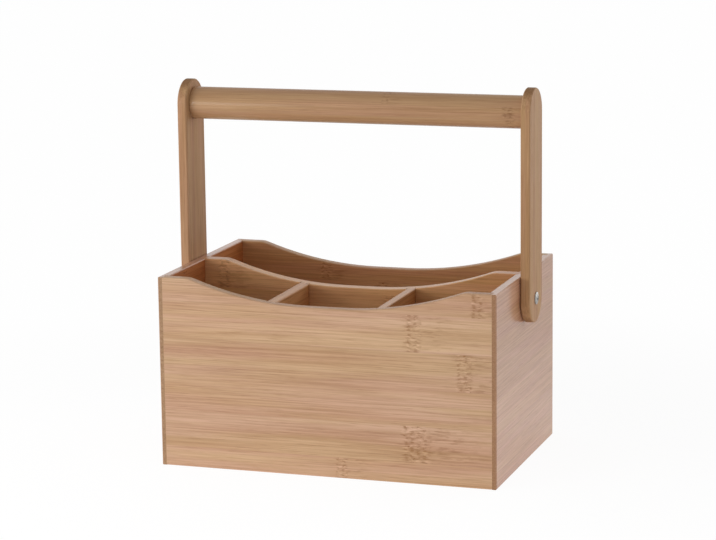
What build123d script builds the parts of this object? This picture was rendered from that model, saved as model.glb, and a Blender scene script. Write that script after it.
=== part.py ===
from build123d import *
import os

# Bamboo utensil caddy with a swing handle.
# Millimetres. X runs left to right, Y front to rear, Z up from the table.
# The origin is at the middle of the box, on the table.

# Box
box_width = 250.0              # outside, over the end boards
box_depth = 160.0              # outside, over the front and rear boards
box_height = 138.0             # to the straight top edges
end_board_thickness = 6.5
wall_board_thickness = 7.0     # front and rear boards
lip_thickness = 3.3            # what the rabbet leaves at an end board's outer face
board_ease = 0.6               # chamfer on the boards' open edges

# Scoop in the top edges: a short level run between two arcs
scoop_width = 204.0
scoop_depth = 16.2
scoop_level_run = 24.0
scoop_corner_radius = 15.0     # where the arcs run out into the straight top edge

# Base board, held in a groove all round
base_thickness = 5.0
base_lift = 4.0                # underside of the base above the table
groove_depth = 3.0
groove_end_gap = 0.3           # left at the bottom of the groove for the wood to move
slip = 0.1                     # on each side of a board that slides into a groove

# Dividers
long_divider_thickness = 10.0  # thick enough to take the pivot screws in its ends
cross_divider_thickness = 7.0
front_bay_depth = 68.0         # clear depth of the front compartments
middle_bay_width = 74.3        # clear width between the cross dividers
housing_depth = 2.5            # how far a divider's end is let into a board

# Handle
arm_width = 35.0
arm_thickness = 7.0
arm_span = 133.0               # pivot to grip, centre to centre
arm_ease = 1.2                 # radius round the outer face
arm_inner_ease = 0.8           # chamfer round the inner face
grip_diameter = 23.5
grip_ease = 0.5                # chamfer on the bar's shoulders
spigot_diameter = 14.0
spigot_socket_depth = 4.5
spigot_end_gap = 0.4
spigot_play = 0.05             # radial, for glue
pivot_drop = 17.5              # pivot below the straight top edge

# Pivot screws and washers
shoulder_diameter = 5.0        # smooth, the arm turns on it
pivot_play = 0.05              # radial
board_hole_play = 0.15         # radial, round the shoulder in the end board
thread_diameter = 3.6
thread_length = 21.0
point_length = 3.0
pilot_play = 0.05              # radial
head_diameter = 9.0
head_height = 1.5
head_rim = 0.5
recess_span = 4.4
recess_slot = 1.0
recess_depth = 0.9
washer_diameter = 13.0
washer_thickness = 0.4
face_play = 0.1                # between arm and washer, and between arm and screw head

# Places that follow from the sizes above
half_width = box_width / 2
half_depth = box_depth / 2
inner_half_width = half_width - end_board_thickness
inner_half_depth = half_depth - wall_board_thickness
wall_half_length = half_width - lip_thickness
base_top = base_lift + base_thickness
divider_y = -inner_half_depth + front_bay_depth + long_divider_thickness / 2
divider_end = inner_half_width + housing_depth
cross_divider_x = (middle_bay_width + cross_divider_thickness) / 2
pivot_z = box_height - pivot_drop
grip_z = pivot_z + arm_span
arm_inner_x = half_width + washer_thickness + face_play
arm_outer_x = arm_inner_x + arm_thickness
head_seat_x = arm_outer_x + face_play


def block(x0, x1, y0, y1, z0, z1):
    """A box between two opposite corners."""
    corner = (Align.MIN, Align.MIN, Align.MIN)
    return Pos(x0, y0, z0) * Box(x1 - x0, y1 - y0, z1 - z0, align=corner)


def x_rod(radius, x0, x1, y, z):
    """A round bar along X."""
    axis = Plane(origin=(x0, y, z), z_dir=(1, 0, 0))
    return axis * Cylinder(radius, x1 - x0, align=(Align.CENTER, Align.CENTER, Align.MIN))


def ease_edges(piece, size, chosen):
    """Chamfer the edges that the test picks."""
    return chamfer([edge for edge in piece.edges() if chosen(edge)], size)


def round_edges(piece, radius, chosen):
    """Fillet the edges that the test picks."""
    return fillet([edge for edge in piece.edges() if chosen(edge)], radius)


def runs_along(edge, axis):
    """True for a straight edge parallel to the axis."""
    return edge.geom_type == GeomType.LINE and abs(edge.tangent_at(0).dot(axis)) > 0.999


def at_x(edge, x):
    """True for an edge whose middle is at this place along X."""
    return abs(edge.position_at(0.5).X - x) < 0.01


def scooped_board(half_length, foot_z, y_front, y_rear):
    """A board along X whose top edge dips between two arcs."""
    low_z = box_height - scoop_depth
    view = Plane(origin=(0, y_front, 0), x_dir=(1, 0, 0), z_dir=(0, -1, 0))
    with BuildSketch(view) as outline:
        with BuildLine():
            level = Line((0, low_z), (scoop_level_run / 2, low_z))
            rise = TangentArc(level @ 1, (scoop_width / 2, box_height), tangent=(1, 0))
            Polyline(rise @ 1, (half_length, box_height), (half_length, foot_z), (0, foot_z))
            mirror(about=Plane.YZ)
        make_face()
        ends = [v for v in outline.vertices() if abs(abs(v.X) - scoop_width / 2) < 0.01]
        fillet(ends, scoop_corner_radius)
    return extrude(outline.sketch, amount=-(y_rear - y_front))


def ease_scooped_top(board, y_faces):
    """Ease both long top edges of a scooped board, along the straight runs and the arcs."""
    lowest_top = box_height - scoop_depth - 0.01

    def on_top(edge):
        middle = edge.position_at(0.5)
        on_face = any(abs(middle.Y - y) < 0.01 for y in y_faces)
        upright = runs_along(edge, Vector(0, 0, 1))
        return on_face and not upright and middle.Z > lowest_top

    return ease_edges(board, board_ease, on_top)


def housing(x0, x1, y0, y1):
    """The slot that lets a divider's end into a board, open at the top."""
    return block(x0, x1, y0, y1, base_top, box_height + 1)


def cross_housings(y0, y1):
    """One slot for each cross divider."""
    reach = cross_divider_thickness / 2 + slip
    left = housing(-cross_divider_x - reach, -cross_divider_x + reach, y0, y1)
    right = housing(cross_divider_x - reach, cross_divider_x + reach, y0, y1)
    return left + right


def wall_board(side):
    """Front board for side -1, rear board for side 1."""
    outer_y = side * half_depth
    inner_y = side * inner_half_depth
    y_faces = sorted((outer_y, inner_y))
    board = scooped_board(wall_half_length, 0, *y_faces)
    board = ease_scooped_top(board, y_faces)

    def lower_outer(edge):
        middle = edge.position_at(0.5)
        return runs_along(edge, Vector(1, 0, 0)) and middle.Z < 0.01

    board = ease_edges(board, board_ease, lower_outer)
    groove_y = sorted((inner_y, inner_y + side * groove_depth))
    reach = wall_half_length + 1
    board -= block(-reach, reach, *groove_y, base_lift, base_top + slip)
    if side < 0:
        board -= cross_housings(inner_y - housing_depth, inner_y + 1)
    return board


def end_board(side):
    """Left end board for side -1, right end board for side 1."""
    outer_x = side * half_width
    inner_x = side * inner_half_width
    board = block(*sorted((inner_x, outer_x)), -half_depth, half_depth, 0, box_height)

    def open_edge(edge):
        middle = edge.position_at(0.5)
        outer_upright = abs(middle.X - outer_x) < 0.01 and runs_along(edge, Vector(0, 0, 1))
        return outer_upright or runs_along(edge, Vector(0, 1, 0))

    board = ease_edges(board, board_ease, open_edge)
    rabbet_x = sorted((inner_x - side, side * (half_width - lip_thickness)))
    for y_side in (-1, 1):
        rabbet_y = sorted((y_side * inner_half_depth, y_side * (half_depth + 1)))
        board -= block(*rabbet_x, *rabbet_y, -1, box_height + 1)
    groove_x = sorted((inner_x - side, inner_x + side * groove_depth))
    board -= block(*groove_x, -inner_half_depth, inner_half_depth, base_lift, base_top + slip)
    reach = long_divider_thickness / 2 + slip
    slot_x = sorted((inner_x - side, side * divider_end))
    board -= housing(*slot_x, divider_y - reach, divider_y + reach)
    hole_radius = shoulder_diameter / 2 + board_hole_play
    board -= x_rod(hole_radius, *sorted((inner_x - side, outer_x + side)), divider_y, pivot_z)
    return board


def base_board():
    """Floor of the compartments, let into the grooves."""
    half_x = inner_half_width + groove_depth - groove_end_gap
    half_y = inner_half_depth + groove_depth - groove_end_gap
    return block(-half_x, half_x, -half_y, half_y, base_lift, base_top)


def long_divider():
    """Thick scooped divider from end board to end board, bored at its ends for the screws."""
    y_faces = (divider_y - long_divider_thickness / 2, divider_y + long_divider_thickness / 2)
    board = scooped_board(divider_end, base_top, *y_faces)
    board = ease_scooped_top(board, y_faces)
    board -= cross_housings(y_faces[0] - 1, y_faces[0] + housing_depth)
    pilot_depth = thread_length + slip
    pilot_radius = thread_diameter / 2 + pilot_play
    for x0, x1 in ((-divider_end - 1, -divider_end + pilot_depth),
                   (divider_end - pilot_depth, divider_end + 1)):
        board -= x_rod(pilot_radius, x0, x1, divider_y, pivot_z)
    return board


def cross_divider(side):
    """Short divider between the front board and the long one, its top cut to the scoop."""
    y0 = -inner_half_depth - housing_depth
    y1 = divider_y - long_divider_thickness / 2 + housing_depth
    x_mid = side * cross_divider_x
    half = cross_divider_thickness / 2
    blank = block(x_mid - half, x_mid + half, y0, y1, base_top, box_height)
    board = blank & scooped_board(wall_half_length, 0, y0, y1)

    def top_edge(edge):
        return runs_along(edge, Vector(0, 1, 0)) and edge.position_at(0.5).Z > base_top + 1

    return ease_edges(board, board_ease, top_edge)


def handle_arm(side):
    """Flat strip with round ends: pivot hole below, blind socket for the grip above."""
    inner_face = Plane(origin=(side * arm_inner_x, divider_y, pivot_z + arm_span / 2),
                       x_dir=(0, side, 0), z_dir=(side, 0, 0))
    outline = Rot(0, 0, 90) * SlotCenterToCenter(arm_span, arm_width)
    arm = extrude(inner_face * outline, amount=arm_thickness)
    arm = round_edges(arm, arm_ease, lambda edge: at_x(edge, side * arm_outer_x))
    arm = ease_edges(arm, arm_inner_ease, lambda edge: at_x(edge, side * arm_inner_x))
    hole_radius = shoulder_diameter / 2 + pivot_play
    hole_x = sorted((side * (arm_inner_x - 1), side * (arm_outer_x + 1)))
    arm -= x_rod(hole_radius, *hole_x, divider_y, pivot_z)
    socket_radius = spigot_diameter / 2 + spigot_play
    socket_x = sorted((side * (arm_inner_x - 1), side * (arm_inner_x + spigot_socket_depth)))
    arm -= x_rod(socket_radius, *socket_x, divider_y, grip_z)
    return arm


def grip_bar():
    """Round bar with a turned spigot at each end; its shoulders seat on the arms."""
    bar = x_rod(grip_diameter / 2, -arm_inner_x, arm_inner_x, divider_y, grip_z)
    bar = chamfer(bar.edges().filter_by(GeomType.CIRCLE), grip_ease)
    spigot_x = arm_inner_x + spigot_socket_depth - spigot_end_gap
    bar += x_rod(spigot_diameter / 2, -spigot_x, spigot_x, divider_y, grip_z)
    return bar


def pivot_screw(side):
    """Low domed screw whose shoulder stops on the long divider's end grain."""
    shoulder_length = head_seat_x - divider_end
    with BuildSketch(Plane.XZ) as half:
        with BuildLine():
            path = Polyline((0, -shoulder_length - thread_length),
                            (thread_diameter / 2, -shoulder_length - thread_length + point_length),
                            (thread_diameter / 2, -shoulder_length),
                            (shoulder_diameter / 2, -shoulder_length),
                            (shoulder_diameter / 2, 0),
                            (head_diameter / 2, 0),
                            (head_diameter / 2, head_rim))
            dome = TangentArc((0, head_height), path @ 1, tangent=(1, 0))
            Line(dome @ 0, path @ 0)
        make_face()
    screw = revolve(half.sketch, axis=Axis.Z)
    slot = Box(recess_span, recess_slot, 2 * recess_depth)
    screw -= Pos(0, 0, head_height) * (slot + Rot(0, 0, 90) * slot)
    seat = Plane(origin=(side * head_seat_x, divider_y, pivot_z), z_dir=(side, 0, 0))
    return seat * screw


def pivot_washer(side):
    """Thin washer between the end board and the arm."""
    outer = x_rod(washer_diameter / 2, half_width, half_width + washer_thickness, 0, 0)
    hole = x_rod(shoulder_diameter / 2 + pivot_play, half_width - 1, arm_inner_x + 1, 0, 0)
    ring = Pos(0, divider_y, pivot_z) * (outer - hole)
    return ring if side > 0 else mirror(ring, about=Plane.YZ)


pieces = {
    "base_board": base_board(),
    "front_board": wall_board(-1),
    "rear_board": wall_board(1),
    "left_end_board": end_board(-1),
    "right_end_board": end_board(1),
    "long_divider": long_divider(),
    "left_cross_divider": cross_divider(-1),
    "right_cross_divider": cross_divider(1),
    "left_handle_arm": handle_arm(-1),
    "right_handle_arm": handle_arm(1),
    "grip_bar": grip_bar(),
    "left_pivot_screw": pivot_screw(-1),
    "right_pivot_screw": pivot_screw(1),
    "left_pivot_washer": pivot_washer(-1),
    "right_pivot_washer": pivot_washer(1),
}

os.makedirs("parts", exist_ok=True)
for name, piece in pieces.items():
    export_step(piece, f"parts/{name}.step")
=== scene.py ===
import math

import bpy
from mathutils import Matrix, Vector


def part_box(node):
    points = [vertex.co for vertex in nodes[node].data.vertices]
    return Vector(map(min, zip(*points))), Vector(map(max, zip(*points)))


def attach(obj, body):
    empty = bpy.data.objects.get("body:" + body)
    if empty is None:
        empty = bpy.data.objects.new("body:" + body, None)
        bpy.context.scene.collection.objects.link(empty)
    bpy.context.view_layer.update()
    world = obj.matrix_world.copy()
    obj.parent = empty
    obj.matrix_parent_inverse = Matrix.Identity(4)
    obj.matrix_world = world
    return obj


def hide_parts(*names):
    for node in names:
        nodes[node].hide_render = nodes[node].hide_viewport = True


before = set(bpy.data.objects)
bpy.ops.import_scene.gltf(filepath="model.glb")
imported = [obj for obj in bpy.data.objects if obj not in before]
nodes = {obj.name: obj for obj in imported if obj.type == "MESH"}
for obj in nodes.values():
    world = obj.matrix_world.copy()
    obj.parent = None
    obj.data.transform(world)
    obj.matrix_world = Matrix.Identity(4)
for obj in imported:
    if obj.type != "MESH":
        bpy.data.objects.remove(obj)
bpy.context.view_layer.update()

# Bamboo utensil caddy with a swing handle. Metres. X to the right, Y to the rear, Z up.
mm = 0.001
white = (1, 1, 1, 1)


def feed(tree, socket, value):
    # a socket takes either a link or a plain value
    if isinstance(value, bpy.types.NodeSocket):
        tree.links.new(value, socket)
    else:
        socket.default_value = value


def addNode(tree, kind, inputs=None, **options):
    made = tree.nodes.new(kind)
    for option, value in options.items():
        setattr(made, option, value)
    for socket, value in (inputs or {}).items():
        feed(tree, made.inputs[socket], value)
    return made


def calc(tree, operation, *values, clamp=False):
    made = addNode(tree, "ShaderNodeMath", operation=operation, use_clamp=clamp)
    for socket, value in zip(made.inputs, values):
        feed(tree, socket, value)
    return made.outputs[0]


def ramp(tree, value, low, high, toLow=0.0, toHigh=1.0):
    # smooth step from low to high
    inputs = {"Value": value, "From Min": low, "From Max": high, "To Min": toLow, "To Max": toHigh}
    made = addNode(tree, "ShaderNodeMapRange", inputs, interpolation_type="SMOOTHSTEP")
    return made.outputs["Result"]


def pick(tree, choice, chosen, other):
    # choice is 1 for the first value and 0 for the second
    return calc(tree, "MULTIPLY_ADD", choice, calc(tree, "SUBTRACT", chosen, other), other)


def tint(tree, factor, first, second, blend="MIX"):
    inputs = {0: factor, 6: first, 7: second}
    return addNode(tree, "ShaderNodeMix", inputs, data_type="RGBA", blend_type=blend).outputs[2]


def vector(tree, x, y, z):
    return addNode(tree, "ShaderNodeCombineXYZ", {0: x, 1: y, 2: z}).outputs[0]


def split(tree, source):
    return addNode(tree, "ShaderNodeSeparateXYZ", {0: source}).outputs


def shifted(tree, point, move):
    return addNode(tree, "ShaderNodeVectorMath", {0: point, 1: move}, operation="ADD").outputs[0]


def stretched(tree, point, perMetre):
    # point times how many features a metre holds along each axis
    return addNode(tree, "ShaderNodeVectorMath", {0: point, 1: perMetre}, operation="MULTIPLY").outputs[0]


def noise(tree, point, recipe):
    perMetre, detail, rough = recipe
    inputs = {"Vector": stretched(tree, point, perMetre), "Scale": 1.0, "Detail": detail, "Roughness": rough}
    return addNode(tree, "ShaderNodeTexNoise", inputs).outputs["Fac"]


def stray(tree, point, recipe):
    # noise to both sides of zero
    return calc(tree, "SUBTRACT", noise(tree, point, recipe), 0.5)


socketKinds = {"value": "NodeSocketFloat", "vector": "NodeSocketVector", "colour": "NodeSocketColor",
               "count": "NodeSocketInt", "geometry": "NodeSocketGeometry", "material": "NodeSocketMaterial"}


def newGroup(name, inputs, outputs, treeKind="ShaderNodeTree"):
    tree = bpy.data.node_groups.new(name, treeKind)
    for side, sockets in (("INPUT", inputs), ("OUTPUT", outputs)):
        for socketName, kind in sockets:
            tree.interface.new_socket(socketName, in_out=side, socket_type=socketKinds[kind])
    given = tree.nodes.new("NodeGroupInput")
    results = tree.nodes.new("NodeGroupOutput")
    return tree, given.outputs, results.inputs


def useGroup(tree, group, inputs):
    made = tree.nodes.new("ShaderNodeGroup")
    made.node_tree = group
    for socket, value in inputs.items():
        feed(tree, made.inputs[socket], value)
    return made.outputs


def newMaterial(name):
    made = bpy.data.materials.new(name)
    made.use_nodes = True
    made.node_tree.nodes.clear()
    return made, made.node_tree


def showShader(tree, shader):
    addNode(tree, "ShaderNodeOutputMaterial", {"Surface": shader.outputs[0]})


# Bamboo is strips glued side by side, each with its own tone and knuckles. In the three groups
# below, x runs along the grain, y through the board and z across its strips.

stripNumbers = {"plyStep": 7.31, "columnStep": 1.37}     # no two strips of a board get the same number
stripSockets = {
    "inputs": [("Point", "vector"), ("Strip Width", "value"), ("Strip Start", "value"),
               ("Ply Thickness", "value"), ("Ply Start", "value"), ("Knuckle Spacing", "value"),
               ("Seed", "value")],
    "outputs": [("Strip", "value"), ("Tone", "value"), ("Knuckle Distance", "value"),
                ("Border Distance", "value")],
}


def buildStrips():
    tree, given, results = newGroup("bambooStrips", **stripSockets)
    place = split(tree, given["Point"])
    across = calc(tree, "SUBTRACT", place[2], given["Strip Start"])
    across = calc(tree, "DIVIDE", across, given["Strip Width"])
    depth = calc(tree, "SUBTRACT", place[1], given["Ply Start"])
    depth = calc(tree, "DIVIDE", depth, given["Ply Thickness"])
    ply = calc(tree, "MULTIPLY_ADD", calc(tree, "FLOOR", depth), stripNumbers["plyStep"], given["Seed"])
    column = calc(tree, "MULTIPLY", calc(tree, "FLOOR", across), stripNumbers["columnStep"])
    strip = calc(tree, "ADD", ply, column)
    chance = addNode(tree, "ShaderNodeTexWhiteNoise", {"W": strip}, noise_dimensions="1D").outputs["Color"]
    chance = addNode(tree, "ShaderNodeSeparateColor", {0: chance}).outputs
    along = calc(tree, "ADD", calc(tree, "DIVIDE", place[0], given["Knuckle Spacing"]), chance[0])
    offset = calc(tree, "SUBTRACT", along, calc(tree, "ROUND", along))
    fromMiddle = calc(tree, "ABSOLUTE", calc(tree, "SUBTRACT", calc(tree, "FRACT", across), 0.5))
    border = calc(tree, "MULTIPLY", calc(tree, "SUBTRACT", 0.5, fromMiddle), given["Strip Width"])
    feed(tree, results["Strip"], strip)
    feed(tree, results["Tone"], chance[1])
    feed(tree, results["Knuckle Distance"], calc(tree, "MULTIPLY", offset, given["Knuckle Spacing"]))
    feed(tree, results["Border Distance"], border)
    return tree


# A noise is given by its features per metre along, through and across the grain, its detail and its
# roughness. An edge is the two levels of a noise between which its mark fades in.
knuckle = {
    "fade": (0.6, 1.0),                  # the mark fades out between these shares of its reach
    "ragged": 0.9,                       # how far its sides stray, as a share of its reach
    "raggedNoise": ((0.0, 150.0, 260.0), 1.0, 0.5),
    "columnPitch": 4.6 * mm,             # the mark is a few wavy columns of short dashes
    "columnWiggle": 8.0,
    "wiggleNoise": ((0.0, 120.0, 210.0), 2.0, 0.5),
    "columnEdge": (-0.5, 0.6),
    "columnGain": 0.35,                  # a dash on a column is this much stronger
    "dashStrength": 0.4,
    "dashNoise": ((190.0, 700.0, 780.0), 2.0, 0.55),
    "dashEdge": (0.46, 0.60),
    "dashBend": 0.9 * mm,
    "bendNoise": ((260.0, 150.0, 90.0), 1.0, 0.5),
    "glintEdge": (0.44, 0.34),           # pale fibres between the dashes
    "spotNoise": ((330.0, 600.0, 330.0), 1.0, 0.5),
    "spotEdge": (0.66, 0.76),
    "rippleNoise": ((95.0, 420.0, 560.0), 2.0, 0.6),
    "rippleEdge": (0.5, 0.66),
    "rippleReach": 5.5,                  # the fibres beyond the mark stay disturbed for this many reaches
    "nearShrink": 0.6,                   # on the other side they settle sooner
    "rippleFade": (0.3, 1.0),
}
knuckleSockets = {
    "inputs": [("Point", "vector"), ("Distance", "value"), ("Reach", "value")],
    "outputs": [("Stroke", "value"), ("Glint", "value"), ("Ripple", "value"), ("Halo", "value")],
}


def buildKnuckle():
    tree, given, results = newGroup("bambooKnuckle", **knuckleSockets)
    point, distance, reach = given["Point"], given["Distance"], given["Reach"]

    # the band that the mark fills
    ragged = stray(tree, point, knuckle["raggedNoise"])
    away = calc(tree, "MULTIPLY_ADD", ragged, calc(tree, "MULTIPLY", reach, knuckle["ragged"]), distance)
    away = calc(tree, "DIVIDE", calc(tree, "ABSOLUTE", away), reach)
    band = ramp(tree, away, *knuckle["fade"], 1.0, 0.0)

    # dashes in wavy columns, with a few dark spots among them
    wiggle = noise(tree, point, knuckle["wiggleNoise"])
    turns = calc(tree, "DIVIDE", distance, knuckle["columnPitch"] / (2 * math.pi))
    phase = calc(tree, "MULTIPLY_ADD", wiggle, knuckle["columnWiggle"], turns)
    column = ramp(tree, calc(tree, "COSINE", phase), *knuckle["columnEdge"])
    bend = stray(tree, point, knuckle["bendNoise"])
    bend = vector(tree, 0.0, 0.0, calc(tree, "MULTIPLY", bend, 2 * knuckle["dashBend"]))
    wavy = shifted(tree, point, bend)
    dashes = noise(tree, wavy, knuckle["dashNoise"])
    strength = calc(tree, "MULTIPLY_ADD", column, knuckle["columnGain"], knuckle["dashStrength"])
    stroke = calc(tree, "MULTIPLY", ramp(tree, dashes, *knuckle["dashEdge"]), strength)
    spots = ramp(tree, noise(tree, wavy, knuckle["spotNoise"]), *knuckle["spotEdge"])
    stroke = calc(tree, "MAXIMUM", stroke, spots)
    glint = ramp(tree, dashes, *knuckle["glintEdge"])

    # disturbed fibres, far on one side of the mark and near on the other
    far = calc(tree, "DIVIDE", calc(tree, "MAXIMUM", distance, 0.0), knuckle["rippleReach"])
    near = calc(tree, "MAXIMUM", calc(tree, "MULTIPLY", distance, -1.0), 0.0)
    near = calc(tree, "MULTIPLY", near, knuckle["nearShrink"])
    steps = calc(tree, "DIVIDE", calc(tree, "ADD", far, near), reach)
    halo = ramp(tree, steps, *knuckle["rippleFade"], 1.0, 0.0)
    ripple = ramp(tree, noise(tree, point, knuckle["rippleNoise"]), *knuckle["rippleEdge"])

    feed(tree, results["Stroke"], calc(tree, "MULTIPLY", stroke, band))
    feed(tree, results["Glint"], calc(tree, "MULTIPLY", band, glint))
    feed(tree, results["Ripple"], calc(tree, "MULTIPLY", halo, ripple))
    feed(tree, results["Halo"], halo)
    return tree


grain = {
    "ownSteps": (0.731, 0.057),          # each strip is cut from its own stretch of cane
    "wander": 0.25 * mm,                 # how far a fibre strays sideways
    "wanderNoise": ((9.0, 14.0, 18.0), 1.0, 0.5),
    "knuckleSway": 0.9 * mm,             # how far fibres bend beside a knuckle
    "swayNoise": ((60.0, 90.0, 150.0), 1.0, 0.5),
    "broadNoise": ((4.0, 45.0, 60.0), 2.0, 0.5),     # broad bands of the pale and the deep colour
    "broadEdge": (0.2, 0.8),
    "hueNoise": ((6.0, 60.0, 120.0), 2.0, 0.5),
    "hueEdge": (0.35, 0.65),
    "yellowish": (1.0, 1.02, 0.95, 1),
    "rosy": (1.0, 0.97, 1.02, 1),
    "streakNoise": ((13.0, 620.0, 980.0), 3.0, 0.65),
    "streakEdge": (0.25, 0.75),
    "fibreNoise": ((48.0, 1600.0, 2000.0), 2.0, 0.6),
    "fibreEdge": (0.54, 0.72),
    "borderLine": 0.25 * mm,
    # what each mark adds to the brightness, and the brightness without it
    "streakShade": (0.29, 0.865),
    "fibreShade": (-0.17, 1.024),
    "rippleShade": (-0.18, 1.0),
    "toneShade": (0.1, 0.95),
    "borderShade": (-0.08, 1.0),
    "glintShade": (0.14, 1.0),
    "fallOff": (1.25, 1.6),              # dark fibres are warmer: green falls faster than red, blue fastest
    "strokeStrength": 0.75,
    "endFacing": (0.55, 0.9),            # from here on a face shows end grain
    "endPoresPerMetre": (230.0, 1150.0, 1150.0),
    "poreSize": (0.1, 0.42),
    "poreStrength": 0.45,
    "innerFacing": (0.5, 0.9),
    "edgeHighlightFrom": (0.1, 0.4),            # painted highlight on an eased edge, which lies between these facings
    "edgeHighlightTo": (0.9, 0.985),
    "edgeHighlightStrength": 0.3,
    "fibreRough": 0.10,
    "markRough": 0.12,
    # height of each mark, as a share of the bump's depth
    "streakHeight": 0.5,
    "fibreHeight": -0.55,
    "strokeHeight": -0.6,
    "borderHeight": -0.5,
}
grainSockets = {
    "inputs": [("Point", "vector"), ("Facing", "vector"), ("Strip", "value"), ("Tone", "value"),
               ("Knuckle Distance", "value"), ("Knuckle Reach", "value"), ("Border Distance", "value"),
               ("Pale", "colour"), ("Deep", "colour"), ("Brown", "colour"), ("End", "colour"),
               ("Roughness", "value"), ("Inner Side", "value"), ("Painted Inner Shade", "colour")],
    "outputs": [("Color", "colour"), ("Roughness", "value"), ("Height", "value")],
}


def darkened(tree, colour, shade):
    greenFall, blueFall = grain["fallOff"]
    warm = vector(tree, shade, calc(tree, "POWER", shade, greenFall), calc(tree, "POWER", shade, blueFall))
    return tint(tree, 1.0, colour, warm, "MULTIPLY")


def buildGrain():
    tree, given, results = newGroup("bambooGrain", **grainSockets)
    own = [calc(tree, "MULTIPLY", given["Strip"], step) for step in grain["ownSteps"]]
    point = shifted(tree, given["Point"], vector(tree, *own, 0.0))
    mark = useGroup(tree, knuckleGroup, {"Point": point, "Distance": given["Knuckle Distance"],
                                         "Reach": given["Knuckle Reach"]})

    # fibres wander, and bend round a knuckle
    wander = stray(tree, point, grain["wanderNoise"])
    bend = stray(tree, point, grain["swayNoise"])
    bend = calc(tree, "MULTIPLY", bend, calc(tree, "MULTIPLY", mark["Halo"], 2 * grain["knuckleSway"]))
    sway = calc(tree, "MULTIPLY_ADD", wander, 2 * grain["wander"], bend)
    point = shifted(tree, point, vector(tree, 0.0, 0.0, sway))

    broad = ramp(tree, noise(tree, point, grain["broadNoise"]), *grain["broadEdge"])
    hue = ramp(tree, noise(tree, point, grain["hueNoise"]), *grain["hueEdge"])
    streak = ramp(tree, noise(tree, point, grain["streakNoise"]), *grain["streakEdge"])
    fibre = ramp(tree, noise(tree, point, grain["fibreNoise"]), *grain["fibreEdge"])
    border = ramp(tree, given["Border Distance"], 0.0, grain["borderLine"], 1.0, 0.0)

    colour = tint(tree, broad, given["Pale"], given["Deep"])
    colour = tint(tree, 1.0, colour, tint(tree, hue, grain["yellowish"], grain["rosy"]), "MULTIPLY")
    shade = calc(tree, "MULTIPLY_ADD", streak, *grain["streakShade"])
    marks = (("fibreShade", fibre), ("rippleShade", mark["Ripple"]), ("toneShade", given["Tone"]),
             ("borderShade", border), ("glintShade", mark["Glint"]))
    for name, strength in marks:
        shade = calc(tree, "MULTIPLY", shade, calc(tree, "MULTIPLY_ADD", strength, *grain[name]))
    colour = darkened(tree, colour, shade)
    stroke = calc(tree, "MULTIPLY", mark["Stroke"], grain["strokeStrength"])
    colour = tint(tree, stroke, colour, given["Brown"])

    # end grain: pores where the face looks along the fibres
    facing = split(tree, given["Facing"])
    endOn = ramp(tree, calc(tree, "ABSOLUTE", facing[0]), *grain["endFacing"])
    spread = stretched(tree, point, grain["endPoresPerMetre"])
    cells = addNode(tree, "ShaderNodeTexVoronoi", {"Vector": spread, "Scale": 1.0})
    pores = ramp(tree, cells.outputs["Distance"], *grain["poreSize"], 1.0, 0.0)
    pores = calc(tree, "MULTIPLY", pores, grain["poreStrength"])
    endColour = tint(tree, pores, given["End"], given["Brown"])
    colour = tint(tree, endOn, colour, darkened(tree, endColour, shade))

    # painted shade: the sides that face the compartments are tinted darker and warmer, for the shade and warm
    # bounce light inside the box
    paintedShadeMask = ramp(tree, calc(tree, "MULTIPLY", facing[1], given["Inner Side"]), *grain["innerFacing"])
    colour = tint(tree, paintedShadeMask, colour, tint(tree, 1.0, colour, given["Painted Inner Shade"], "MULTIPLY"))

    # painted highlight: eased edges are tinted a little paler, as if catching the light
    flat = calc(tree, "ABSOLUTE", facing[1])
    edgeHighlight = ramp(tree, flat, *grain["edgeHighlightTo"], 1.0, 0.0)
    edgeHighlight = calc(tree, "MULTIPLY", ramp(tree, flat, *grain["edgeHighlightFrom"]), edgeHighlight)
    colour = tint(tree, calc(tree, "MULTIPLY", edgeHighlight, grain["edgeHighlightStrength"]), colour, given["Pale"])

    rough = calc(tree, "MULTIPLY_ADD", fibre, grain["fibreRough"], given["Roughness"])
    marked = calc(tree, "MAXIMUM", mark["Stroke"], endOn)
    rough = calc(tree, "MULTIPLY_ADD", marked, grain["markRough"], rough)
    height = calc(tree, "MULTIPLY", streak, grain["streakHeight"])
    height = calc(tree, "MULTIPLY_ADD", fibre, grain["fibreHeight"], height)
    height = calc(tree, "MULTIPLY_ADD", mark["Stroke"], grain["strokeHeight"], height)
    height = calc(tree, "MULTIPLY_ADD", border, grain["borderHeight"], height)
    feed(tree, results["Color"], colour)
    feed(tree, results["Roughness"], rough)
    feed(tree, results["Height"], height)
    return tree


stripsGroup = buildStrips()
knuckleGroup = buildKnuckle()
grainGroup = buildGrain()
print("bamboo node groups built")

placedSpan = 0.4     # a placed knuckle lies within half of this from a board's middle


def placedKnuckles(tree, point, placed):
    # one stop of a stepped ramp for each strip holds its knuckle's place and reach, and its tone
    place = split(tree, point)
    steps = addNode(tree, "ShaderNodeValToRGB", {0: calc(tree, "DIVIDE", place[2], placed["height"])})
    steps.color_ramp.interpolation = "CONSTANT"
    stops = steps.color_ramp.elements
    while len(stops) < len(placed["strips"]):
        stops.new(1.0)
    for stop, (foot, along, reach, tone) in zip(stops, placed["strips"]):
        stop.position = foot / placed["height"]
        stop.color = (along / placedSpan + 0.5, reach / placedSpan, tone, 1.0)
    found = addNode(tree, "ShaderNodeSeparateColor", {0: steps.outputs["Color"]}).outputs
    middle = calc(tree, "MULTIPLY", calc(tree, "SUBTRACT", found[0], 0.5), placedSpan)
    distance = calc(tree, "SUBTRACT", place[0], middle)
    return distance, calc(tree, "MULTIPLY", found[1], placedSpan), found[2]


def turned(tree, source, axes):
    # picks the axes in the order grain, thickness, across
    parts = split(tree, source)
    return vector(tree, *[parts["XYZ".index(axis)] for axis in axes])


lacquer = {"IOR": 1.47, "Specular IOR Level": 0.12, "Coat Roughness": 0.17}
woodBump = {"Strength": 0.6, "Distance": 0.09 * mm}


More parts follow.
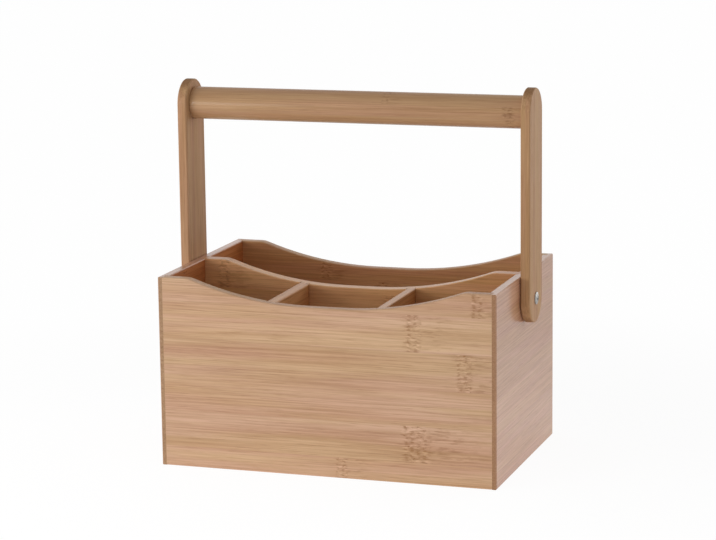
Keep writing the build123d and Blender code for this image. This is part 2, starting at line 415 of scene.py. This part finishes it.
def bambooMaterial(name, look):
    made, tree = newMaterial(name)
    source = tree.nodes.new("ShaderNodeTexCoord").outputs
    point = turned(tree, source["Object"], look["axes"])
    facing = turned(tree, source["Normal"], look["axes"])
    strips = useGroup(tree, stripsGroup, {
        "Point": point, "Strip Width": look["stripWidth"], "Strip Start": look["stripStart"],
        "Ply Thickness": look["plyThickness"], "Ply Start": look["plyStart"],
        "Knuckle Spacing": look["knuckleSpacing"], "Seed": look["seed"]})
    if "placed" in look:
        distance, reach, tone = placedKnuckles(tree, point, look["placed"])
    else:
        distance, reach, tone = strips["Knuckle Distance"], look["knuckleReach"], strips["Tone"]
    wood = useGroup(tree, grainGroup, {
        "Point": point, "Facing": facing, "Strip": strips["Strip"], "Tone": tone,
        "Knuckle Distance": distance, "Knuckle Reach": reach, "Border Distance": strips["Border Distance"],
        "Pale": look["pale"], "Deep": look["deep"], "Brown": look["brown"], "End": look["end"],
        "Roughness": look["roughness"], "Inner Side": look["innerSide"], "Painted Inner Shade": look["paintedInnerShade"]})
    bump = addNode(tree, "ShaderNodeBump", {"Height": wood["Height"], **woodBump})
    shader = addNode(tree, "ShaderNodeBsdfPrincipled", {
        "Base Color": wood["Color"], "Roughness": wood["Roughness"], "Normal": bump.outputs[0],
        "Coat Weight": look["coat"], **lacquer})
    showShader(tree, shader)
    return made


def dress(nodeName, material):
    mesh = nodes[nodeName].data
    mesh.materials.clear()
    mesh.materials.append(material)
    for face in mesh.polygons:
        face.material_index = 0


# Palettes are linear colours. innerSide is the sign of the thickness axis on the side that faces
# the compartments, and 0 leaves both sides alike. A knuckle spacing of 9 m leaves a short piece bare.
# paintedInnerShade is painted shade: it darkens and warms the sides that face the compartments
plainWood = {"plyThickness": 1.0, "plyStart": -0.5, "knuckleSpacing": 0.24, "knuckleReach": 5 * mm,
             "innerSide": 0.0, "paintedInnerShade": white}
boxWood = {**plainWood, "pale": (0.612, 0.394, 0.246, 1), "deep": (0.520, 0.298, 0.172, 1),
           "brown": (0.30, 0.135, 0.05, 1), "end": (0.35, 0.175, 0.078, 1),
           "roughness": 0.55, "coat": 0.2, "paintedInnerShade": (1.0, 0.86, 0.67, 1)}
endWood = {**boxWood, "pale": (0.600, 0.332, 0.204, 1), "deep": (0.520, 0.258, 0.144, 1),
           "coat": 0.85, "paintedInnerShade": (0.97, 0.66, 0.33, 1)}
# the inside parts: the wood's own colour, made deeper and more saturated than the outer boards' to paint in
# the warm bounce light and shade of the compartments
innerWood = {**plainWood, "pale": (0.73, 0.405, 0.185, 1), "deep": (0.60, 0.300, 0.128, 1),
             "brown": (0.30, 0.135, 0.05, 1), "end": (0.36, 0.19, 0.08, 1),
             "roughness": 0.55, "coat": 0.45}
# the cross dividers' palette is darker and more saturated still: the same painted bounce light and shade
crossWood = {**innerWood, "pale": (0.65, 0.325, 0.135, 1), "deep": (0.53, 0.240, 0.088, 1)}
handleWood = {**plainWood, "pale": (0.528, 0.312, 0.168, 1), "deep": (0.425, 0.223, 0.107, 1),
              "brown": (0.24, 0.11, 0.045, 1), "end": (0.32, 0.17, 0.08, 1),
              "roughness": 0.58, "coat": 0.06}

# Each placed strip gives its foot, its knuckle's place along the board, the knuckle's reach and the
# strip's tone. A place past the board's end leaves the strip bare.
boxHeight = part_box("front_board")[1].z
boardLooks = {
    "front_board": {
        **boxWood, "axes": "XYZ", "stripWidth": 26.4 * mm, "stripStart": 15 * mm, "seed": 3.0,
        "innerSide": 1.0,
        "placed": {"height": boxHeight, "strips": (
            (0.0 * mm, 11.9 * mm, 5.0 * mm, 1.0),
            (15.0 * mm, 67.0 * mm, 12.0 * mm, 0.40),
            (41.4 * mm, -190.0 * mm, 6.0 * mm, 0.45),
            (67.8 * mm, 101.9 * mm, 7.0 * mm, 0.30),
            (94.2 * mm, 65.1 * mm, 6.5 * mm, 0.90),
            (120.6 * mm, 111.3 * mm, 5.0 * mm, 0.6),
        )},
    },
    "rear_board": {
        **boxWood, "axes": "XYZ", "stripWidth": 25.2 * mm, "stripStart": 10 * mm, "seed": 11.0,
        "innerSide": -1.0,
        "placed": {"height": boxHeight, "strips": (
            (0.0 * mm, 52.0 * mm, 5.0 * mm, 0.6),
            (10.0 * mm, -88.0 * mm, 6.0 * mm, 0.3),
            (35.2 * mm, 96.0 * mm, 7.0 * mm, 0.7),
            (60.4 * mm, 31.0 * mm, 5.0 * mm, 0.45),
            (85.6 * mm, -6.0 * mm, 6.0 * mm, 0.45),
            (110.8 * mm, -50.5 * mm, 6.0 * mm, 0.25),
        )},
    },
    "left_end_board": {
        **endWood, "axes": "YXZ", "stripWidth": 26.0 * mm, "stripStart": 4 * mm, "seed": 21.0,
        "innerSide": 1.0, "end": (0.385, 0.220, 0.110, 1),
    },
    "right_end_board": {
        **endWood, "axes": "YXZ", "stripWidth": 25.6 * mm, "stripStart": 12 * mm, "seed": 34.0,
        "innerSide": -1.0, "knuckleSpacing": 9.0,
    },
    "long_divider": {
        **innerWood, "axes": "XYZ", "stripWidth": 25.0 * mm, "stripStart": 17 * mm, "seed": 43.0,
        "placed": {"height": boxHeight, "strips": (
            (0.0 * mm, 30.0 * mm, 5.0 * mm, 0.5),
            (17.0 * mm, -60.0 * mm, 6.0 * mm, 0.4),
            (42.0 * mm, 80.0 * mm, 6.0 * mm, 0.6),
            (67.0 * mm, -190.0 * mm, 6.0 * mm, 0.3),
            (92.0 * mm, 25.0 * mm, 6.0 * mm, 0.5),
            (117.0 * mm, -103.0 * mm, 6.0 * mm, 0.35),
        )},
    },
    "left_cross_divider": {
        **crossWood, "axes": "YXZ", "stripWidth": 26.0 * mm, "stripStart": 2 * mm, "seed": 52.0,
    },
    "right_cross_divider": {
        **crossWood, "axes": "YXZ", "stripWidth": 26.0 * mm, "stripStart": 8 * mm, "seed": 61.0,
    },
    "base_board": {
        **innerWood, "axes": "XZY", "stripWidth": 25.0 * mm, "stripStart": 3 * mm, "seed": 72.0,
    },
}
for nodeName, look in boardLooks.items():
    dress(nodeName, bambooMaterial(nodeName + "_bamboo", look))
print("boards dressed")

# an arm is two plies, glued face to face
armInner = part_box("right_handle_arm")[0].x
plyThickness = 3.5 * mm
armLook = {**handleWood, "axes": "ZXY", "stripWidth": 18.0 * mm, "stripStart": -4 * mm,
           "plyThickness": plyThickness, "knuckleSpacing": 9.0}
leftArmLook = {**armLook, "plyStart": -armInner - 2 * plyThickness, "seed": 84.0}
rightArmLook = {**armLook, "plyStart": armInner, "seed": 97.0}
dress("left_handle_arm", bambooMaterial("left_arm_bamboo", leftArmLook))
dress("right_handle_arm", bambooMaterial("right_arm_bamboo", rightArmLook))

gripLook = {
    **handleWood, "axes": "XYZ", "stripWidth": 8.5 * mm, "stripStart": 249.0 * mm, "seed": 103.0,
    "coat": 0.4,
    "placed": {"height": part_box("grip_bar")[1].z, "strips": (
        (0.0 * mm, 117.0 * mm, 4.5 * mm, 0.5),
        (249.0 * mm, 115.0 * mm, 5.5 * mm, 0.75),
        (257.5 * mm, 24.5 * mm, 3.0 * mm, 0.35),
    )},
}
dress("grip_bar", bambooMaterial("grip_bamboo", gripLook))
print("handle dressed")


steel = {
    "colours": ((0.48, 0.47, 0.45, 1), (0.33, 0.32, 0.30, 1)),
    "cloudNoise": ((420.0, 420.0, 420.0), 3.0, 0.5),
    "cloudEdge": (0.35, 0.7),
    "fineNoise": ((900.0, 9000.0, 2500.0), 2.0, 0.6),
    "roughness": 0.44,
    "roughSpread": 0.22,
    "bump": {"Strength": 0.3, "Distance": 0.02 * mm},
    "shader": {"Metallic": 1.0},
}
nylon = {
    "colours": ((0.80, 0.79, 0.75, 1), (0.66, 0.64, 0.59, 1)),
    "cloudNoise": ((300.0, 300.0, 300.0), 3.0, 0.5),
    "cloudEdge": (0.3, 0.7),
    "fineNoise": ((2600.0, 2600.0, 2600.0), 2.0, 0.5),
    "roughness": 0.4,
    "roughSpread": 0.2,
    "bump": {"Strength": 0.25, "Distance": 0.02 * mm},
    "shader": {"Subsurface Weight": 0.1},
}


def cloudedMaterial(name, look):
    # two tones in soft clouds, with fine scratches or specks in the surface
    made, tree = newMaterial(name)
    point = tree.nodes.new("ShaderNodeTexCoord").outputs["Object"]
    clouds = ramp(tree, noise(tree, point, look["cloudNoise"]), *look["cloudEdge"])
    fine = noise(tree, point, look["fineNoise"])
    rough = calc(tree, "MULTIPLY_ADD", fine, look["roughSpread"], look["roughness"])
    bump = addNode(tree, "ShaderNodeBump", {"Height": fine, **look["bump"]})
    shader = addNode(tree, "ShaderNodeBsdfPrincipled", {
        "Base Color": tint(tree, clouds, *look["colours"]), "Roughness": rough, "Normal": bump.outputs[0],
        **look["shader"]})
    showShader(tree, shader)
    return made


steelFinish = cloudedMaterial("zinc_plated_steel", steel)
nylonFinish = cloudedMaterial("natural_nylon", nylon)
for side in ("left", "right"):
    dress(side + "_pivot_washer", nylonFinish)


# pivot screws: domed head with a cross recess, smooth shoulder and a rolled wood thread
headPlay = 0.1 * mm
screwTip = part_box("right_pivot_screw")[0].x
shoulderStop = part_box("long_divider")[1].x
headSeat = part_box("right_handle_arm")[1].x + headPlay
screw = {
    "Head Radius": 4.5 * mm, "Head Rim": 0.5 * mm, "Head Height": 1.5 * mm,
    "Shoulder Radius": 2.5 * mm, "Shoulder Length": headSeat - shoulderStop,
    "Root Radius": 1.25 * mm, "Thread Radius": 1.8 * mm, "Thread Pitch": 1.5 * mm,
    "Thread Length": shoulderStop - screwTip, "Thread Steepness": 3.4, "Point Length": 3.0 * mm,
    "Recess Span": 4.4 * mm, "Recess Width": 1.5 * mm, "Recess Depth": 1.0 * mm,
    "Recess Turn": math.radians(18), "Recess Foot": 0.5, "Recess Overshoot": 1.02,
    "Sides": 40, "Rings": 300, "Head Rings": 14,
    "Merge Distance": 0.002 * mm, "Crisp Angle": math.radians(32),
}


def shankProfile(tree, given, ring, turn):
    # rings run from the tip to the seat of the head, with the thread as a ridge that winds round
    length = calc(tree, "ADD", given["Shoulder Length"], given["Thread Length"])
    share = calc(tree, "DIVIDE", ring, calc(tree, "SUBTRACT", given["Rings"], 1.0), clamp=True)
    along = calc(tree, "MULTIPLY", calc(tree, "SUBTRACT", share, 1.0), length)
    below = calc(tree, "MULTIPLY", along, -1.0)
    toTip = calc(tree, "SUBTRACT", length, below)
    taper = calc(tree, "DIVIDE", toTip, given["Point Length"], clamp=True)
    windings = calc(tree, "DIVIDE", along, given["Thread Pitch"])
    phase = calc(tree, "FRACT", calc(tree, "SUBTRACT", windings, turn))
    ridge = calc(tree, "ABSOLUTE", calc(tree, "SUBTRACT", phase, 0.5))
    ridge = calc(tree, "MULTIPLY", ridge, given["Thread Steepness"])
    ridge = calc(tree, "SUBTRACT", 1.0, ridge, clamp=True)
    depth = calc(tree, "SUBTRACT", given["Thread Radius"], given["Root Radius"])
    threaded = calc(tree, "MULTIPLY_ADD", ridge, depth, given["Root Radius"])
    threaded = calc(tree, "MULTIPLY", threaded, taper)
    isShoulder = calc(tree, "LESS_THAN", below, given["Shoulder Length"])
    return along, pick(tree, isShoulder, given["Shoulder Radius"], threaded)


def headProfile(tree, given, fromSeat):
    # flat underside, rim, then a dome whose slope is level at its top
    rise = calc(tree, "SUBTRACT", given["Head Height"], given["Head Rim"])
    squares = calc(tree, "POWER", given["Head Radius"], 2.0)
    squares = calc(tree, "ADD", squares, calc(tree, "POWER", rise, 2.0))
    sphere = calc(tree, "DIVIDE", squares, calc(tree, "MULTIPLY", rise, 2.0))
    steps = calc(tree, "SUBTRACT", given["Head Rings"], 2.0)
    dome = calc(tree, "DIVIDE", calc(tree, "SUBTRACT", fromSeat, 1.0), steps, clamp=True)
    wide = calc(tree, "COSINE", calc(tree, "MULTIPLY", dome, math.pi / 2))
    wide = calc(tree, "MULTIPLY", given["Head Radius"], wide)
    inside = calc(tree, "SUBTRACT", calc(tree, "POWER", sphere, 2.0), calc(tree, "POWER", wide, 2.0))
    drop = calc(tree, "SUBTRACT", sphere, calc(tree, "SQRT", inside))
    high = calc(tree, "SUBTRACT", given["Head Height"], drop)
    # only the ring on the seat itself stays down
    return calc(tree, "MULTIPLY", high, calc(tree, "GREATER_THAN", fromSeat, 0.5)), wide


def recessWing(tree, given, quarter):
    # one wing of the cross: a four-sided cone, turned square and squeezed thin, wide end outwards
    reach = calc(tree, "MULTIPLY", given["Recess Span"], math.sqrt(0.5))
    foot = calc(tree, "MULTIPLY", reach, given["Recess Foot"])
    cone = addNode(tree, "GeometryNodeMeshCone", {
        "Vertices": 4, "Radius Top": reach, "Radius Bottom": foot, "Depth": given["Recess Depth"]})
    square = addNode(tree, "GeometryNodeTransform", {
        "Geometry": cone.outputs["Mesh"], "Rotation": (0.0, 0.0, math.pi / 4)})
    thin = calc(tree, "DIVIDE", given["Recess Width"], given["Recess Span"])
    start = calc(tree, "SUBTRACT", given["Head Height"], given["Recess Depth"])
    laid = addNode(tree, "GeometryNodeTransform", {
        "Geometry": square.outputs[0], "Scale": vector(tree, 1.0, thin, given["Recess Overshoot"]),
        "Rotation": (0.0, math.pi / 2, 0.0), "Translation": vector(tree, start, 0.0, 0.0)})
    turn = calc(tree, "ADD", given["Recess Turn"], quarter * math.pi / 2)
    return addNode(tree, "GeometryNodeTransform", {
        "Geometry": laid.outputs[0], "Rotation": vector(tree, turn, 0.0, 0.0)}).outputs[0]


def buildScrewTree():
    counts = ("Sides", "Rings", "Head Rings")
    inputs = [(name, "count" if name in counts else "value") for name in screw] + [("Steel", "material")]
    tree, given, results = newGroup("pivotScrew", inputs, [("Geometry", "geometry")], "GeometryNodeTree")

    # a flat grid, whose columns go round the screw and whose rows are its rings
    rings = calc(tree, "ADD", given["Rings"], given["Head Rings"])
    grid = addNode(tree, "GeometryNodeMeshGrid", {
        "Size X": 1.0, "Size Y": 1.0, "Vertices X": calc(tree, "ADD", given["Sides"], 1),
        "Vertices Y": rings})
    place = split(tree, tree.nodes.new("GeometryNodeInputPosition").outputs[0])
    turn = calc(tree, "ADD", place[0], 0.5)
    ring = calc(tree, "MULTIPLY", calc(tree, "ADD", place[1], 0.5), calc(tree, "SUBTRACT", rings, 1.0))
    ring = calc(tree, "ROUND", ring)

    along, shank = shankProfile(tree, given, ring, turn)
    fromSeat = calc(tree, "SUBTRACT", ring, given["Rings"])
    high, wide = headProfile(tree, given, fromSeat)
    isHead = calc(tree, "GREATER_THAN", fromSeat, -0.5)
    radius = pick(tree, isHead, wide, shank)
    angle = calc(tree, "MULTIPLY", turn, 2 * math.pi)
    spot = vector(tree, pick(tree, isHead, high, along),
                  calc(tree, "MULTIPLY", radius, calc(tree, "COSINE", angle)),
                  calc(tree, "MULTIPLY", radius, calc(tree, "SINE", angle)))
    wound = addNode(tree, "GeometryNodeSetPosition", {"Geometry": grid.outputs["Mesh"], "Position": spot})
    closed = addNode(tree, "GeometryNodeMergeByDistance", {
        "Geometry": wound.outputs[0], "Distance": given["Merge Distance"]})

    cut = addNode(tree, "GeometryNodeMeshBoolean", {"Mesh 1": closed.outputs[0]}, operation="DIFFERENCE")
    for quarter in (0, 1):
        tree.links.new(recessWing(tree, given, quarter), cut.inputs["Mesh 2"])
    smooth = addNode(tree, "GeometryNodeSetShadeSmooth", {"Geometry": cut.outputs[0], "Shade Smooth": True})
    bent = tree.nodes.new("GeometryNodeInputMeshEdgeAngle").outputs["Unsigned Angle"]
    crisp = addNode(tree, "GeometryNodeSetShadeSmooth", {
        "Geometry": smooth.outputs[0], "Selection": calc(tree, "GREATER_THAN", bent, given["Crisp Angle"]),
        "Shade Smooth": False}, domain="EDGE")
    real = addNode(tree, "GeometryNodeRealizeInstances", {"Geometry": crisp.outputs[0]})
    coated = addNode(tree, "GeometryNodeSetMaterial", {
        "Geometry": real.outputs[0], "Material": given["Steel"]})
    feed(tree, results["Geometry"], coated.outputs[0])
    return tree


def makeScrewMesh():
    tree = buildScrewTree()
    maker = bpy.data.objects.new("screwMaker", bpy.data.meshes.new("screwMaker"))
    bpy.context.scene.collection.objects.link(maker)
    modifier = maker.modifiers.new("pivotScrew", "NODES")
    modifier.node_group = tree
    sockets = {item.name: item.identifier for item in tree.interface.items_tree if item.in_out == "INPUT"}
    for name, value in {**screw, "Steel": steelFinish}.items():
        modifier[sockets[name]] = value
    ready = maker.evaluated_get(bpy.context.evaluated_depsgraph_get())
    mesh = bpy.data.meshes.new_from_object(ready)
    maker.modifiers.remove(modifier)
    bpy.data.objects.remove(maker)
    return mesh


screwMesh = makeScrewMesh()
lowCorner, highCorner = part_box("right_pivot_screw")
pivotY = (lowCorner.y + highCorner.y) / 2
pivotZ = (lowCorner.z + highCorner.z) / 2
for side, seat, turn in (("left", -headSeat, math.pi), ("right", headSeat, 0.0)):
    mesh = screwMesh.copy()
    mesh.transform(Matrix.Translation((seat, pivotY, pivotZ)) @ Matrix.Rotation(turn, 4, "Z"))
    piece = bpy.data.objects.new(side + "_screw", mesh)
    bpy.context.scene.collection.objects.link(piece)
    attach(piece, "box")
    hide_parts(side + "_pivot_screw")
    print(piece.name, len(mesh.polygons), "faces")
print("hardware dressed")


studio = {
    "floorRadius": 5.0,
    "floorSides": 64,
    "floorColour": (0.90, 0.90, 0.90, 1),
    "floorShow": (0.88, 0.985),          # share of plain white in the camera's view, near the caddy and far
    "floorReach": (0.12, 0.6),
    "sheenShow": 0.35,                   # the same for a mirror, near the caddy
    "sheenReach": (0.25, 0.8),           # beyond it a mirror sees the bare floor
    "poolCentre": (-0.12, -0.35, 0.0),   # the lit table shines a little in front of the caddy
    "poolReach": (0.2, 1.0),
    "poolGlow": 0.45,
    "domeStrength": 0.54,                # soft light from all round
    "darkSide": (0.75, -0.66, 0.0),      # less of it comes from the front right
    "darkReach": (0.1, 0.9),
    "darkShare": 0.3,
    "ceiling": (0.3, 0.85),              # height on the sky where a mirror sees the white sweep end
    "lamps": (
        # name, place, aimed at, width, height, watts
        ("lowLeftSoftbox", (-0.82, -0.96, 0.30), (0, 0, 0.08), 0.8, 0.40, 4.7),
        ("rearRightSoftbox", (0.95, 1.2, 0.30), (0, 0, 0.08), 0.9, 0.6, 4.1),
    ),
}


def lightPath(tree):
    # what the camera sees, and what a mirror or glass sees
    path = tree.nodes.new("ShaderNodeLightPath").outputs
    return path["Is Camera Ray"], calc(tree, "MAXIMUM", path["Is Glossy Ray"], path["Is Transmission Ray"])


def floorMaterial():
    made, tree = newMaterial("studio_white")
    point = tree.nodes.new("ShaderNodeTexCoord").outputs["Object"]
    fromPool = addNode(tree, "ShaderNodeVectorMath", {0: point, 1: studio["poolCentre"]},
                       operation="DISTANCE").outputs["Value"]
    pool = ramp(tree, fromPool, *studio["poolReach"], studio["poolGlow"], 0.0)
    matt = addNode(tree, "ShaderNodeBsdfDiffuse", {"Color": studio["floorColour"]})
    lit = addNode(tree, "ShaderNodeEmission", {"Color": white, "Strength": pool})
    table = addNode(tree, "ShaderNodeAddShader", {0: matt.outputs[0], 1: lit.outputs[0]})

    camera, mirrored = lightPath(tree)
    away = addNode(tree, "ShaderNodeVectorMath", {0: point}, operation="LENGTH").outputs["Value"]
    sheen = ramp(tree, away, *studio["sheenReach"], studio["sheenShow"], 0.0)
    sheen = calc(tree, "MULTIPLY", mirrored, sheen)
    shown = ramp(tree, away, *studio["floorReach"], *studio["floorShow"])
    shown = calc(tree, "MULTIPLY", camera, shown)
    share = calc(tree, "MAXIMUM", shown, sheen)
    plain = addNode(tree, "ShaderNodeEmission", {"Color": white, "Strength": 1.0})
    mixed = addNode(tree, "ShaderNodeMixShader", {0: share, 1: table.outputs[0], 2: plain.outputs[0]})
    showShader(tree, mixed)
    return made


def addFloor():
    mesh = bpy.data.meshes.new("studioFloor")
    radius, sides = studio["floorRadius"], studio["floorSides"]
    angles = [2 * math.pi * i / sides for i in range(sides)]
    corners = [(radius * math.cos(angle), radius * math.sin(angle), 0.0) for angle in angles]
    mesh.from_pydata(corners, [], [tuple(range(sides))])
    mesh.materials.append(floorMaterial())
    floor = bpy.data.objects.new("studioFloor", mesh)
    bpy.context.scene.collection.objects.link(floor)


def addWorld():
    world = bpy.data.worlds.new("studio")
    bpy.context.scene.world = world
    world.use_nodes = True
    tree = world.node_tree
    tree.nodes.clear()
    towards = tree.nodes.new("ShaderNodeTexCoord").outputs["Generated"]
    side = addNode(tree, "ShaderNodeVectorMath", {0: towards, 1: studio["darkSide"]}, operation="DOT_PRODUCT")
    shaded = ramp(tree, side.outputs["Value"], *studio["darkReach"], 0.0, studio["darkShare"])
    dome = calc(tree, "MULTIPLY", calc(tree, "SUBTRACT", 1.0, shaded), studio["domeStrength"])
    # the camera, mirrors and glass see white up to the ceiling, and the soft light above it
    ceiling = ramp(tree, split(tree, towards)[2], *studio["ceiling"])
    seen = calc(tree, "MAXIMUM", *lightPath(tree))
    sweep = calc(tree, "MULTIPLY", seen, calc(tree, "SUBTRACT", 1.0, ceiling))
    strength = pick(tree, sweep, 1.0, dome)
    glow = addNode(tree, "ShaderNodeBackground", {"Color": white, "Strength": strength})
    addNode(tree, "ShaderNodeOutputWorld", {"Surface": glow.outputs[0]})


def addLamps():
    for name, place, target, width, height, watts in studio["lamps"]:
        data = bpy.data.lights.new(name, "AREA")
        data.shape = "RECTANGLE"
        data.size = width
        data.size_y = height
        data.energy = watts
        lamp = bpy.data.objects.new(name, data)
        lamp.location = place
        lamp.rotation_euler = (Vector(target) - Vector(place)).to_track_quat("-Z", "Y").to_euler()
        lamp.visible_camera = False
        bpy.context.scene.collection.objects.link(lamp)


view = {
    "azimuth": 18.437, "elevation": 10.873, "roll": -0.702,      # degrees
    "distance": 1.8348, "target": (-0.0009, 0.0, 0.1343),
    "lens": 126.8, "sensor": 36.0, "clipStart": 0.05, "clipEnd": 50.0,
}


def addCamera():
    data = bpy.data.cameras.new("camera")
    data.lens = view["lens"]
    data.sensor_width = view["sensor"]
    data.clip_start = view["clipStart"]
    data.clip_end = view["clipEnd"]
    camera = bpy.data.objects.new("camera", data)
    around = Matrix.Rotation(math.radians(view["azimuth"]), 4, "Z")
    tilt = Matrix.Rotation(math.radians(90 - view["elevation"]), 4, "X")
    roll = Matrix.Rotation(math.radians(view["roll"]), 4, "Z")
    turn = around @ tilt @ roll
    place = Vector(view["target"]) + view["distance"] * (turn @ Vector((0, 0, 1)))
    camera.matrix_world = Matrix.Translation(place) @ turn
    bpy.context.scene.collection.objects.link(camera)
    bpy.context.scene.camera = camera


addFloor()
addWorld()
addLamps()
addCamera()
bpy.context.scene.view_settings.view_transform = "Standard"
print("studio and camera placed")
